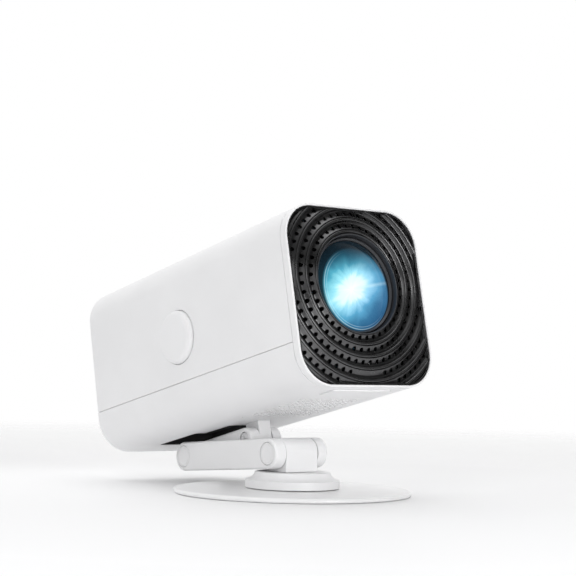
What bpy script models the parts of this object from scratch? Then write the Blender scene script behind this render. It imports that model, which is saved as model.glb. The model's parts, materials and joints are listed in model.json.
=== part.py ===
"""Home projector on a folding stand: a rounded-square tube of two shells on a Z-fold arm and a round base.

Row frame: origin at the centre of the base's underside, +Z up, the lens looks towards -Y, the power
button is on the -X side. Sizes below are in millimetres and become metres through MM.
The housing has a frame of its own: X across, Y from the front edge backwards, Z up from its centre.
"""
import math

import bmesh
import bpy
from mathutils import Vector

MM = 0.001
GAP = 0.3                     # clearance between neighbouring pieces

# housing, a rounded-square tube
BODY_WIDTH = 100.0
BODY_HEIGHT = 107.7
BODY_LENGTH = 216.8
CORNER_RADIUS = 21.5
WALL = 2.2
BEZEL_DEPTH = 5.0
BEZEL_WALL = 1.2
PARTING_HEIGHT = -27.5        # seam between the shells, from the section's centre
PITCH = math.radians(12.86)   # the lens looks up by this much
LENS_RISE = 7.4               # optical axis above the section's centre
RIDGE_RISE = 9.0              # centre of the front panel's ridges

# stand
BASE_RADIUS = 71.75
BASE_THICKNESS = 3.1
FOOT_RADIUS = 67.2
FOOT_THICKNESS = 1.2
PEDESTAL_RADIUS = 28.6
PEDESTAL_TOP = 13.4
HINGE_A_HEIGHT = 24.5
LOWER_ARM_LENGTH = 88.65
LOWER_ARM_SLOPE = math.radians(-4.33)
LOWER_ARM_RADIUS = 9.2
LOWER_ARM_HALF_WIDTH = 19.8
CHANNEL_HALF_WIDTH = 12.4
UPPER_ARM_LENGTH = 56.3
UPPER_ARM_SLOPE = math.radians(-13.76)
UPPER_ARM_RADIUS = (7.4, 6.6)  # at the rear hinge and at the lug
UPPER_ARM_HALF_WIDTH = 12.1
PIN_RADIUS = 2.7
CAP_RADIUS = 6.7
LUG_HALF_WIDTH = 4.7
LUG_BACK = 111.0              # tilt hinge behind the front edge
LUG_DROP = 10.55              # tilt hinge below the underside
TILT_SCREW_RADIUS = 2.0

# front panel
RIDGE_FIRST = 30.2
RIDGE_PITCH = 7.25
RIDGE_COUNT = 6
CREST, VALLEY, PANEL_BACK = 0.4, 1.8, 3.8
LENS_OPENING = 30.6

# optics and drives
GLASS_RADIUS = 27.0
GLASS_EDGE = 5.4              # rim of the front glass behind the front edge
GLASS_SAG = 3.4
GLASS_BACK = 9.4
BARREL_RADIUS = 28.6
BARREL_BORE = 27.3
BARREL_FRONT, BARREL_END = 3.6, 40.0
HOLDER_BORE = 29.0
SEAT_BORE = 24.6
FOCUS_SCREW_X, FOCUS_SCREW_Z = 34.0, -18.0
FOCUS_SCREW_RADIUS = 1.35
BUTTON_BACK = 116.1
BUTTON_RISE = 0.5
BUTTON_RADIUS = 16.5
BUTTON_PROUD = 3.8            # height of the button above the housing's side
BUTTON_ROUND = 3.4

UNDERSIDE = -BODY_HEIGHT / 2
TURN = {"X": (0.0, math.pi / 2, 0.0), "Y": (-math.pi / 2, 0.0, 0.0), "Z": (0.0, 0.0, 0.0)}


# ---------------------------------------------------------------- scene, materials and placing

for old in list(bpy.data.objects):
    bpy.data.objects.remove(old, do_unlink=True)


def collection(name):
    made = bpy.data.collections.new(name)
    bpy.context.scene.collection.children.link(made)
    return made


parts = collection("home_projector")
cutters = collection("cutters")


def material(name, colour, roughness, metallic=0.0, alpha=1.0):
    made = bpy.data.materials.new(name)
    made.use_nodes = True
    shader = made.node_tree.nodes["Principled BSDF"]
    shader.inputs["Base Color"].default_value = (*colour, 1.0)
    shader.inputs["Roughness"].default_value = roughness
    shader.inputs["Metallic"].default_value = metallic
    shader.inputs["Alpha"].default_value = alpha
    return made


WHITE = material("white_plastic", (0.86, 0.86, 0.87), 0.42)
WHITE_PAINT = material("white_paint", (0.87, 0.87, 0.88), 0.38)
BLACK = material("black_plastic", (0.02, 0.02, 0.022), 0.45)
DARK = material("dark_plastic", (0.05, 0.05, 0.055), 0.5)
RUBBER = material("black_rubber", (0.03, 0.03, 0.03), 0.8)
STEEL = material("steel", (0.62, 0.63, 0.65), 0.3, 1.0)
ALUMINIUM = material("aluminium", (0.78, 0.79, 0.80), 0.35, 1.0)
GLASS = material("coated_glass", (0.25, 0.55, 0.85), 0.05, 0.0, 0.5)
BOARD = material("green_board", (0.03, 0.20, 0.08), 0.5)
LAMP = material("led_emitter", (0.95, 0.85, 0.35), 0.4)


def place(name, mesh, parent, location, turn, finish):
    """Puts a mesh in the model, or among the cutters where finish is None."""
    made = bpy.data.objects.new(name, mesh)
    if finish is None:
        cutters.objects.link(made)
        made.hide_render = True
        made.display_type = "WIRE"
    else:
        parts.objects.link(made)
        mesh.materials.append(finish)
    made.parent = parent
    made.location = Vector(location) * MM
    made.rotation_euler = turn
    return made


def frame(name, parent, location, slope=0.0):
    """An empty on a joint axis, turned about X by slope."""
    made = bpy.data.objects.new(name, None)
    cutters.objects.link(made)
    made.parent = parent
    made.location = Vector(location) * MM
    made.rotation_euler = (slope, 0.0, 0.0)
    return made


# ---------------------------------------------------------------- outlines

def arc(centre, radius, start, end, steps):
    """Points along an arc, angles in degrees from the first axis."""
    angles = [math.radians(start + (end - start) * i / steps) for i in range(steps + 1)]
    return [(centre[0] + radius * math.cos(a), centre[1] + radius * math.sin(a)) for a in angles]


def rounded_rectangle(half_width, half_height, radius, steps=8, centre=(0.0, 0.0)):
    points = []
    corners = ((1, 1, 0), (-1, 1, 90), (-1, -1, 180), (1, -1, 270))
    for side, level, start in corners:
        middle = (centre[0] + side * (half_width - radius), centre[1] + level * (half_height - radius))
        points += arc(middle, radius, start, start + 90, steps)
    return points


def capsule(first, first_radius, second, second_radius, steps=10):
    """Two circles, one further along the first axis than the other, and their common tangents."""
    length = second[0] - first[0]
    lean = math.degrees(math.asin((first_radius - second_radius) / length))
    return (arc(second, second_radius, -90 + lean, 90 - lean, steps)
            + arc(first, first_radius, 90 - lean, 270 + lean, steps))


def body_outline(inset, steps=10):
    return rounded_rectangle(BODY_WIDTH / 2 - inset, BODY_HEIGHT / 2 - inset, CORNER_RADIUS - inset, steps)


# ---------------------------------------------------------------- shapes

def box(name, low, high, parent, finish, bevel=0.0):
    low, high = Vector(low), Vector(high)
    shape = bmesh.new()
    bmesh.ops.create_cube(shape, size=1.0)
    bmesh.ops.scale(shape, vec=(high - low) * MM, verts=shape.verts)
    mesh = bpy.data.meshes.new(name)
    shape.to_mesh(mesh)
    shape.free()
    made = place(name, mesh, parent, (low + high) / 2, (0, 0, 0), finish)
    if bevel:
        soften(made, bevel, 2)
    return made


def cylinder(name, radius, start, length, axis, parent, finish, sides=32):
    """A cylinder from start along +axis."""
    shape = bmesh.new()
    bmesh.ops.create_cone(shape, cap_ends=True, segments=sides, radius1=radius * MM, radius2=radius * MM,
                          depth=length * MM)
    mesh = bpy.data.meshes.new(name)
    shape.to_mesh(mesh)
    shape.free()
    middle = Vector(start)
    middle["XYZ".index(axis)] += length / 2
    return place(name, mesh, parent, middle, TURN[axis], finish)


def turned(name, profile, axis, location, parent, finish, steps=32, ring=False):
    """A profile of (radius, height) points, down its outer side, turned about the axis."""
    mesh = bpy.data.meshes.new(name)
    edges = [(i, i + 1) for i in range(len(profile) - 1)]
    if ring:
        edges.append((len(profile) - 1, 0))
    mesh.from_pydata([(r * MM, 0.0, h * MM) for r, h in profile], edges, [])
    made = place(name, mesh, parent, location, TURN[axis], finish)
    screw = made.modifiers.new("turn", "SCREW")
    screw.steps = screw.render_steps = steps
    screw.use_merge_vertices = True
    screw.merge_threshold = 0.00001
    return made


def prism(name, outline, low, high, axis, parent, finish, bevel=0.0, bevel_steps=2):
    """A flat outline run from low to high along an axis; its points are in the other two axes."""
    others = [i for i in range(3) if i != "XYZ".index(axis)]

    def point(pair, level):
        place_at = [0.0, 0.0, 0.0]
        place_at[others[0]], place_at[others[1]], place_at["XYZ".index(axis)] = pair[0], pair[1], level
        return Vector(place_at) * MM

    shape = bmesh.new()
    face = shape.faces.new([shape.verts.new(point(pair, low)) for pair in outline])
    raised = bmesh.ops.extrude_face_region(shape, geom=[face])["geom"]
    moved = [item for item in raised if isinstance(item, bmesh.types.BMVert)]
    bmesh.ops.translate(shape, verts=moved, vec=point((0.0, 0.0), high - low))
    bmesh.ops.recalc_face_normals(shape, faces=shape.faces)
    mesh = bpy.data.meshes.new(name)
    shape.to_mesh(mesh)
    shape.free()
    made = place(name, mesh, parent, (0, 0, 0), (0, 0, 0), finish)
    if bevel:
        soften(made, bevel, bevel_steps)
    return made


def band(name, outline, front, rear, thickness, parent, finish, closed):
    """An outline in X and Z run from front to rear as a skin, then thickened inwards."""
    shape = bmesh.new()
    rows = [[shape.verts.new(Vector((x, y, z)) * MM) for x, z in outline] for y in (front, rear)]
    spans = range(len(outline) if closed else len(outline) - 1)
    for i in spans:
        j = (i + 1) % len(outline)
        shape.faces.new((rows[0][i], rows[1][i], rows[1][j], rows[0][j]))
    mesh = bpy.data.meshes.new(name)
    shape.to_mesh(mesh)
    shape.free()
    made = place(name, mesh, parent, (0, 0, 0), (0, 0, 0), finish)
    skin = made.modifiers.new("wall", "SOLIDIFY")
    skin.thickness = thickness * MM
    skin.offset = -1.0
    skin.use_even_offset = True
    return made


def soften(made, width, steps):
    bevel = made.modifiers.new("soft_edges", "BEVEL")
    bevel.width = width * MM
    bevel.segments = steps
    bevel.limit_method = "ANGLE"
    bevel.angle_limit = math.radians(50)


def combine(made, other, operation):
    step = made.modifiers.new(other.name, "BOOLEAN")
    step.operation = operation
    step.solver = "EXACT"
    step.object = other


def cut(made, *others):
    for other in others:
        combine(made, other, "DIFFERENCE")


def join(made, *others):
    for other in others:
        combine(made, other, "UNION")


# ---------------------------------------------------------------- joint frames

swivel_frame = frame("swivel_axis", None, (0, 0, 0))
lower_frame = frame("lower_arm_axis", swivel_frame, (0, 0, HINGE_A_HEIGHT), LOWER_ARM_SLOPE)
upper_frame = frame("upper_arm_axis", lower_frame, (0, LOWER_ARM_LENGTH, 0),
                    UPPER_ARM_SLOPE - LOWER_ARM_SLOPE)
tilt_frame = frame("tilt_axis", upper_frame, (0, -UPPER_ARM_LENGTH, 0), -PITCH - UPPER_ARM_SLOPE)
housing = frame("housing_frame", tilt_frame, (0, -LUG_BACK, LUG_DROP - UNDERSIDE))


# ---------------------------------------------------------------- base and swivel

def build_base():
    cylinder("rubber_foot", FOOT_RADIUS, (0, 0, 0), FOOT_THICKNESS, "Z", None, RUBBER, 40)
    edge, lift = 1.45, 0.2
    rim = arc((BASE_RADIUS - edge, edge + lift), edge, 50, -90, 4)
    inner = FOOT_RADIUS + 0.4
    roof = FOOT_THICKNESS + GAP
    turned("base_disc", [(3.2, 6.5), (15.5, 6.5), (18.5, 3.5), (45, 3.4), (62, BASE_THICKNESS)] + rim
           + [(inner, lift), (inner, roof), (8.5, roof), (8.5, 4.5), (3.2, 4.5)],
           "Z", (0, 0, 0), None, WHITE_PAINT, 48, ring=True)
    turned("swivel_washer", [(3.5, 7.8), (12, 7.8), (12, 6.8), (3.5, 6.8)], "Z", (0, 0, 0), None, DARK, 20,
           True)


def build_swivel():
    flare = arc((28.6, 14.9), 6.0, 195, 262, 4)
    turned("pedestal", [(2.9, PEDESTAL_TOP), (22.0, PEDESTAL_TOP)] + flare
           + [(PEDESTAL_RADIUS, 8.7), (PEDESTAL_RADIUS, 3.9), (26.4, 3.9), (26.4, 8.1), (2.9, 8.1)],
           "Z", (0, 0, 0), swivel_frame, WHITE, 36, True)
    side = LOWER_ARM_RADIUS
    top = arc((0, HINGE_A_HEIGHT), side, 0, 180, 12)
    post = prism("hinge_post", [(side, PEDESTAL_TOP + GAP)] + top + [(-side, PEDESTAL_TOP + GAP)],
                 -12.0, 12.0, "X", swivel_frame, WHITE)
    cut(post,
        cylinder("post_pin_hole", PIN_RADIUS + GAP, (-20, 0, HINGE_A_HEIGHT), 40, "X", swivel_frame, None,
                 20),
        cylinder("post_screw_hole", 2.9, (0, 0, 5), 15.5, "Z", swivel_frame, None, 20))
    turned("swivel_screw", [(0, 20.0), (2.6, 20.0), (2.6, 4.2), (6.0, 4.2), (6.0, 2.2), (0, 2.2)],
           "Z", (0, 0, 0), swivel_frame, STEEL, 16)
    cylinder("hinge_a_pin", PIN_RADIUS, (-18.2, 0, HINGE_A_HEIGHT), 36.4, "X", swivel_frame, STEEL, 16)


# ---------------------------------------------------------------- arms

def cap(name, side, back, parent):
    """A round pin cover in the recess of an arm's cheek."""
    profile = [(0, 0.65), (6.3, 0.65), (CAP_RADIUS, 0.25), (CAP_RADIUS, -0.65), (0, -0.65)]
    made = turned(name, profile, "X", (side * (LOWER_ARM_HALF_WIDTH - 0.55), back, 0), parent, WHITE, 24)
    made.rotation_euler[1] *= side


def build_lower_arm():
    arm = prism("lower_arm", capsule((0, 0), LOWER_ARM_RADIUS, (LOWER_ARM_LENGTH, 0), LOWER_ARM_RADIUS),
                -LOWER_ARM_HALF_WIDTH, LOWER_ARM_HALF_WIDTH, "X", lower_frame, WHITE, 0.8, 1)
    floor, clear, far = -6.4, 15.0, LOWER_ARM_LENGTH - 20.0
    end = LOWER_ARM_LENGTH + 15.0
    channel = [(-15, -15), (clear, -15), (clear, floor), (far, floor), (far, -15), (end, -15), (end, 15),
               (-15, 15)]
    cut(arm, prism("arm_channel", channel, -CHANNEL_HALF_WIDTH, CHANNEL_HALF_WIDTH, "X", lower_frame, None))
    for label, back in (("a", 0.0), ("b", LOWER_ARM_LENGTH)):
        cut(arm, cylinder("pin_hole_" + label, PIN_RADIUS + GAP, (-25, back, 0), 50, "X", lower_frame,
                          None, 16))
        for hand, side in (("left", -1), ("right", 1)):
            start = -20.5 if side < 0 else LOWER_ARM_HALF_WIDTH - 1.5
            cut(arm, cylinder("cap_recess_" + label + "_" + hand, CAP_RADIUS + GAP, (start, back, 0), 2.2,
                              "X",
                              lower_frame, None, 24))
            cap("hinge_" + label + "_cap_" + hand, side, back, lower_frame)
    cylinder("hinge_b_pin", PIN_RADIUS, (-18.2, LOWER_ARM_LENGTH, 0), 36.4, "X", lower_frame, STEEL, 16)


def build_upper_arm():
    rear, front = UPPER_ARM_RADIUS
    reach = UPPER_ARM_LENGTH
    outline = [(-y, z) for y, z in capsule((0, 0), rear, (reach, 0), front)]
    arm = prism("upper_arm", outline, -UPPER_ARM_HALF_WIDTH, UPPER_ARM_HALF_WIDTH, "X", upper_frame, WHITE,
                0.6, 1)
    cut(arm,
        cylinder("upper_pin_hole", PIN_RADIUS + GAP, (-25, 0, 0), 50, "X", upper_frame, None, 16),
        cylinder("tilt_hole", TILT_SCREW_RADIUS + GAP, (-25, -reach, 0), 50, "X", upper_frame, None, 16),
        box("lug_slot", (-LUG_HALF_WIDTH - GAP, -reach - 12, -12), (LUG_HALF_WIDTH + GAP, -reach + 8.8, 12),
            upper_frame, None),
        cylinder("head_recess", 4.7, (-UPPER_ARM_HALF_WIDTH - 1, -reach, 0), 3.3, "X", upper_frame, None,
                 20),
        cylinder("nut_recess", 4.7, (UPPER_ARM_HALF_WIDTH - 2.3, -reach, 0), 3.3, "X", upper_frame, None,
                 20))
    outside = -UPPER_ARM_HALF_WIDTH + 0.1
    head = [(0, 11.5), (TILT_SCREW_RADIUS, 11.5), (TILT_SCREW_RADIUS, outside + 1.9), (4.4, outside + 1.9),
            (4.4, outside + 0.5), (3.9, outside), (0, outside)]
    screw = turned("hinge_c_screw", head, "X", (0, -reach, 0), upper_frame, STEEL, 16)
    for label, half_y, half_z in (("flat", 2.4, 0.45), ("upright", 0.45, 2.4)):
        cut(screw, box("cross_" + label, (outside - 1, -reach - half_y, -half_z),
                       (outside + 0.9, -reach + half_y, half_z), upper_frame, None))
    nut = cylinder("hinge_c_nut", 4.3, (10.1, -reach, 0), 1.8, "X", upper_frame, STEEL, 6)
    cut(nut, cylinder("nut_hole", TILT_SCREW_RADIUS + GAP, (9, -reach, 0), 4, "X", upper_frame, None, 16))


# ---------------------------------------------------------------- housing

LUG_LENGTH = 6.6
POCKET_DEPTH = 7.0
POCKET_WALL = 1.2


def pocket_outline(grow):
    """The T-shaped hollow that takes the folded stand: a wide rear end and a narrower stem."""
    wide, narrow = 20.5 + grow, 13.2 + grow
    stem, shoulder, back = 122.0 - grow, 149.0 - grow, 190.0 + grow
    return [(-narrow, stem), (narrow, stem), (narrow, shoulder), (wide, shoulder), (wide, back),
            (-wide, back),
            (-wide, shoulder), (-narrow, shoulder)]


def screw_post_places():
    return [(side * 39.6, level * 43.3) for side in (-1, 1) for level in (-1, 1)]


def rear_posts(shell, level):
    """Two posts at the shell's rear corners, each with a screw hole from behind."""
    for number, (x, z) in enumerate(screw_post_places()):
        if z * level > 0:
            join(shell, cylinder("post_%d" % number, 4.8, (x, 199, z), 13.5, "Y", housing, None, 16))
            cut(shell, cylinder("post_hole_%d" % number, 1.8, (x, 201, z), 20, "Y", housing, None, 12))


def build_shells():
    outline = body_outline(0.0)
    seam = PARTING_HEIGHT
    above = [p for p in outline if p[1] > seam]
    below = [p for p in outline if p[1] < seam]
    half = BODY_WIDTH / 2
    upper_line = [(half, seam + GAP / 2)] + above + [(-half, seam + GAP / 2)]
    lower_line = [(-half, seam - GAP / 2)] + below + [(half, seam - GAP / 2)]
    front = BEZEL_DEPTH + GAP
    upper = band("upper_shell", upper_line, front, BODY_LENGTH, WALL, housing, WHITE, closed=False)
    cut(upper, cylinder("button_opening", BUTTON_RADIUS + 0.35, (-60, BUTTON_BACK, BUTTON_RISE), 20, "X",
                        housing,
                        None, 36))
    rear_posts(upper, 1)
    lower = band("lower_shell", lower_line, front, BODY_LENGTH, WALL, housing, WHITE, closed=False)
    cut(lower,
        prism("grille_opening", rounded_rectangle(26, 30, 3, 3, (0, 64)), -70, -45, "Z", housing, None),
        box("lug_opening", (-LUG_HALF_WIDTH - GAP, LUG_BACK - LUG_LENGTH - GAP, -70),
            (LUG_HALF_WIDTH + GAP, LUG_BACK + LUG_LENGTH + GAP, -45), housing, None),
        prism("pocket_opening", pocket_outline(POCKET_WALL + GAP), -70, -45, "Z", housing, None),
        box("foot_recess", (-22.3, 8.2, -70), (22.3, 22.3, UNDERSIDE + 0.6), housing, None))
    for number, side in enumerate((-1, 1)):
        join(lower, cylinder("lug_boss_%d" % number, 3.2, (side * 12, 100.5, -52.5), 3.7, "Z", housing,
                             None, 12))
        cut(lower, cylinder("lug_boss_hole_%d" % number, 1.5, (side * 12, 100.5, -51.5), 6, "Z", housing,
                            None, 12))
    rear_posts(lower, -1)
    bezel = band("front_bezel", body_outline(0.0, 8), 0.0, BEZEL_DEPTH, BEZEL_WALL, housing, WHITE,
                 closed=True)
    soften(bezel, 0.7, 1)


def build_grille():
    """Black front panel: rounded ridges in rings, opened for the lens a little below their centre."""
    outer, inner = 73.0, 28.0
    half_crest, half_ridge = 0.8, 1.9
    ridges = [(outer, PANEL_BACK), (outer, VALLEY)]
    for number in range(RIDGE_COUNT - 1, 0, -1):
        middle = RIDGE_FIRST + number * RIDGE_PITCH
        ridges += [(middle + half_ridge, VALLEY), (middle + half_crest, CREST),
                   (middle - half_crest, CREST),
                   (middle - half_ridge, VALLEY)]
    ridges += [(RIDGE_FIRST + half_ridge, VALLEY), (RIDGE_FIRST + half_crest, CREST), (inner, CREST)]
    panel = turned("front_grille", ridges + [(inner, PANEL_BACK)], "Y", (0, 0, RIDGE_RISE), housing, BLACK,
                   36,
                   True)
    blank = prism("panel_blank", body_outline(BEZEL_WALL + GAP, 6), -5, 10, "Y", housing, None)
    combine(panel, blank, "INTERSECT")
    cut(panel, cylinder("lens_opening", LENS_OPENING, on_axis(-5), 15, "Y", housing, None, 36))


def build_rear():
    cover = prism("rear_cover", body_outline(WALL + GAP, 6), 212.8, 215.3, "Y", housing, WHITE)
    for row in range(11):
        level = -20.0 + row * 4.6
        for side in (-1, 1):
            cut(cover, box("vent_%d_%d" % (row, side), (side * 20 - 15, 210, level - 1.1),
                           (side * 20 + 15, 218, level + 1.1), housing, None))
    low, high = -41.9, -34.7
    for label, left, right in (("hdmi", -34.1, -17.9), ("usb", -10.1, 5.1), ("audio", 12.6, 20.6),
                               ("dc", 24.3, 34.3)):
        cut(cover, box("opening_" + label, (left, 210, low), (right, 218, high), housing, None))
    cut(cover, box("opening_ir", (-7.3, 210, 34.7), (7.3, 218, 41.3), housing, None))
    for number, (x, z) in enumerate(screw_post_places()):
        cut(cover, cylinder("cover_hole_%d" % number, 1.8, (x, 210, z), 8, "Y", housing, None, 12))
        turned("rear_screw_%d" % (number + 1), [(0, 1.0), (2.4, 1.0), (3.1, 0.4), (3.1, 0), (1.5, 0),
                                                (1.5, -12),
                                                (0, -12)], "Y", (x, 215.6, z), housing, STEEL, 12)
    box("ir_window", (-7, 213.1, 35), (7, 215.2, 41), housing, BLACK)


def build_underside():
    grille = prism("speaker_grille", rounded_rectangle(25.7, 29.7, 2.7, 3, (0, 64)), UNDERSIDE,
                   UNDERSIDE + 1.8, "Z",
                   housing, WHITE)
    for row in range(4):
        for column in range(5):
            slot = box("slot_%d_%d" % (row, column), (-3.2, -0.9, -2), (3.2, 0.9, 4), housing, None)
            slot.location = Vector((-17.6 + column * 8.8, 46 + row * 12, UNDERSIDE)) * MM
            slot.rotation_euler[2] = math.radians(40)
            cut(grille, slot)
    shape = bmesh.new()
    level = UNDERSIDE + POCKET_DEPTH
    floor = shape.faces.new([shape.verts.new(Vector((x, y, level)) * MM) for x, y in pocket_outline(0.0)])
    raised = bmesh.ops.extrude_edge_only(shape, edges=list(floor.edges))["geom"]
    rim = [item for item in raised if isinstance(item, bmesh.types.BMVert)]
    bmesh.ops.translate(shape, verts=rim, vec=(0, 0, (0.15 - POCKET_DEPTH) * MM))
    bmesh.ops.recalc_face_normals(shape, faces=shape.faces)
    mesh = bpy.data.meshes.new("stand_pocket")
    shape.to_mesh(mesh)
    shape.free()
    pocket = place("stand_pocket", mesh, housing, (0, 0, 0), (0, 0, 0), BLACK)
    skin = pocket.modifiers.new("wall", "SOLIDIFY")
    skin.thickness = POCKET_WALL * MM
    skin.offset = 1.0
    skin.use_even_offset = True
    box("front_foot", (-22, 8.5, UNDERSIDE - 0.7), (22, 22, UNDERSIDE + 0.3), housing, WHITE, 0.3)


def build_lug():
    """The tongue between the upper arm's cheeks, with its flange inside the lower shell."""
    bottom = (LUG_BACK, UNDERSIDE - LUG_DROP)
    top = UNDERSIDE + WALL + GAP + 1.0
    outline = arc(bottom, LUG_LENGTH, 180, 360, 14) + [(LUG_BACK + LUG_LENGTH, top),
                                                       (LUG_BACK - LUG_LENGTH, top)]
    lug = prism("mount_lug", outline, -LUG_HALF_WIDTH, LUG_HALF_WIDTH, "X", housing, WHITE)
    flange_low = UNDERSIDE + WALL + GAP
    join(lug, box("lug_flange", (-17, 95.5, flange_low), (17, 118.4, flange_low + 3.0), housing, None))
    cut(lug, cylinder("lug_bore", TILT_SCREW_RADIUS + GAP, (-20, LUG_BACK, bottom[1]), 40, "X", housing,
                      None, 24))
    for label, side in (("left", -1), ("right", 1)):
        cut(lug, cylinder("flange_hole_" + label, 3.5, (side * 12, 100.5, -60), 20, "Z", housing, None, 20))
        turned("lug_screw_" + label, [(0, 1.8), (3.8, 1.8), (4.6, 0.9), (4.6, 0), (1.2, 0), (1.2, -3.0),
                                      (0, -3.0)],
               "Z", (side * 12, 100.5, flange_low + 3.0 + GAP), housing, STEEL, 12)


# ---------------------------------------------------------------- optics

def on_axis(y):
    return (0.0, y, LENS_RISE)


def lens_face(radius, sag, level, steps, outward):
    """Points across a spherical face from its rim to its centre, bulging towards outward."""
    curve = (radius ** 2 + sag ** 2) / (2 * sag)
    spread = math.asin(radius / curve)
    points = []
    for i in range(steps + 1):
        angle = spread * (1 - i / steps)
        points.append((curve * math.sin(angle), level + outward * (curve * math.cos(angle) - curve + sag)))
    return points


def build_lens():
    bore, rim, depth = HOLDER_BORE, LENS_OPENING - GAP, 11.0
    turned("lens_hood", [(bore, depth), (rim, depth), (rim, 0.9), (rim - 0.3, 0.4), (rim - 0.8, 0.7)], "Y",
           on_axis(0), housing, BLACK, 36, True)
    front = BARREL_FRONT
    barrel = turned("lens_barrel", [(BARREL_BORE, BARREL_END), (BARREL_RADIUS, BARREL_END),
                                    (BARREL_RADIUS, front + 0.4), (BARREL_RADIUS - 0.4, front),
                                    (BARREL_BORE, front + 0.5)], "Y", on_axis(0), housing, BLACK, 32, True)
    for name, level in (("front_seat", GLASS_BACK + GAP), ("rear_seat", 36.4)):
        behind = level + 1.6
        wide = BARREL_BORE + 0.6
        join(barrel, turned(name, [(SEAT_BORE, behind), (wide, behind), (wide, level), (SEAT_BORE, level)],
                            "Y",
                            on_axis(0), housing, None, 32, True))
    away = math.atan2(FOCUS_SCREW_Z - LENS_RISE, FOCUS_SCREW_X)
    root, half = BARREL_BORE + 0.6, 4.0
    tip = math.hypot(FOCUS_SCREW_X, FOCUS_SCREW_Z - LENS_RISE) + half
    tab_front, tab_rear = 13.5, 16.5
    tab = box("focus_tab", (root, tab_front, -half), (tip, tab_rear, half), housing, None)
    centre = (root + tip) / 2
    tab.location = Vector((math.cos(away) * centre, (tab_front + tab_rear) / 2,
                           LENS_RISE + math.sin(away) * centre)) * MM
    tab.rotation_euler[1] = -away
    join(barrel, tab)
    thread = FOCUS_SCREW_RADIUS + 0.35
    cut(barrel, cylinder("tab_hole", thread, (FOCUS_SCREW_X, 5, FOCUS_SCREW_Z), 20, "Y", housing, None, 16))
    face = lens_face(GLASS_RADIUS, GLASS_SAG, GLASS_EDGE, 5, -1)
    turned("front_lens", [(0, GLASS_BACK), (GLASS_RADIUS, GLASS_BACK)] + face, "Y", on_axis(0), housing,
           GLASS, 32)
    rear = list(reversed(lens_face(GLASS_RADIUS, 2.5, 33.2, 3, 1)))
    turned("rear_lens", rear + lens_face(GLASS_RADIUS, 2.5, 31.0, 3, -1), "Y", on_axis(0), housing, GLASS,
           24)
    holder = box("lens_holder", (-40, 20, -24), (40, 22.5, 44), housing, DARK)
    join(holder, cylinder("holder_tube", HOLDER_BORE + 2.0, on_axis(21), 19, "Y", housing, None, 32))
    cut(holder, cylinder("holder_bore", HOLDER_BORE, on_axis(10), 40, "Y", housing, None, 32),
        cylinder("holder_screw_hole", 1.8, (FOCUS_SCREW_X, 10, FOCUS_SCREW_Z), 20, "Y", housing, None, 16))
    cylinder("focus_screw", FOCUS_SCREW_RADIUS, (FOCUS_SCREW_X, 8, FOCUS_SCREW_Z), 14.4, "Y", housing,
             STEEL, 16)
    motor = [(0, 14), (5.6, 14), (6, 13.6), (6, 0), (0, 0)]
    turned("focus_motor", motor, "Y", (FOCUS_SCREW_X, 22.8, FOCUS_SCREW_Z), housing, STEEL, 24)


def build_light_engine():
    half_height = 33.0
    engine = rounded_rectangle(36, half_height, 4, 3, (0, LENS_RISE))
    band("light_engine", engine, 42, 116, 2.5, housing, BLACK, closed=True)
    low, high = LENS_RISE - 29, LENS_RISE + 29
    box("fresnel_front", (-32, 48, low), (32, 50, high), housing, GLASS)
    box("lcd_panel", (-32, 58, low), (32, 60.6, high), housing, GLASS)
    box("fresnel_rear", (-32, 70, low), (32, 72, high), housing, GLASS)
    turned("condenser_lens", [(0, 98), (25, 98), (25, 95)] + lens_face(25, 9, 93, 4, -1), "Y", on_axis(0),
           housing,
           GLASS, 24)
    led = box("led_module", (-20, 110, LENS_RISE - 20), (20, 114, LENS_RISE + 20), housing, LAMP)
    join(led, cylinder("led_emitter", 12, on_axis(108.4), 2, "Y", housing, None, 24))


def build_cooling():
    base, tip, half = 116.4, 146.0, 31.0
    fins, thickness = 11, 1.8
    step = (2 * half - thickness) / (fins - 1)
    outline = [(-half, base), (half, base)]
    for number in range(fins - 1, -1, -1):
        left = -half + number * step
        root = base + 4.6
        outline += [(left + thickness, root), (left + thickness, tip), (left, tip), (left, root)]
    outline = [p for i, p in enumerate(outline) if i not in (2, len(outline) - 1)]
    prism("heat_sink", outline, LENS_RISE - half, LENS_RISE + half, "Z", housing, ALUMINIUM)
    frame_front, depth = 150.0, 15.0
    fan = box("fan_frame", (-35, frame_front, LENS_RISE - 35), (35, frame_front + depth, LENS_RISE + 35),
              housing,
              DARK)
    cut(fan, cylinder("fan_bore", 33.2, on_axis(140), 40, "Y", housing, None, 32))
    rear = frame_front + depth
    join(fan,
         box("spider_flat", (-34, rear - 2, LENS_RISE - 2.5), (34, rear - 0.1, LENS_RISE + 2.5), housing,
             None),
         box("spider_upright", (-2.5, rear - 2.05, LENS_RISE - 34), (2.5, rear - 0.15, LENS_RISE + 34),
             housing,
             None),
         cylinder("spider_hub", 12, on_axis(rear - 2.1), 1.8, "Y", housing, None, 24))
    build_impeller(frame_front + 1.2, 10.6)


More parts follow.
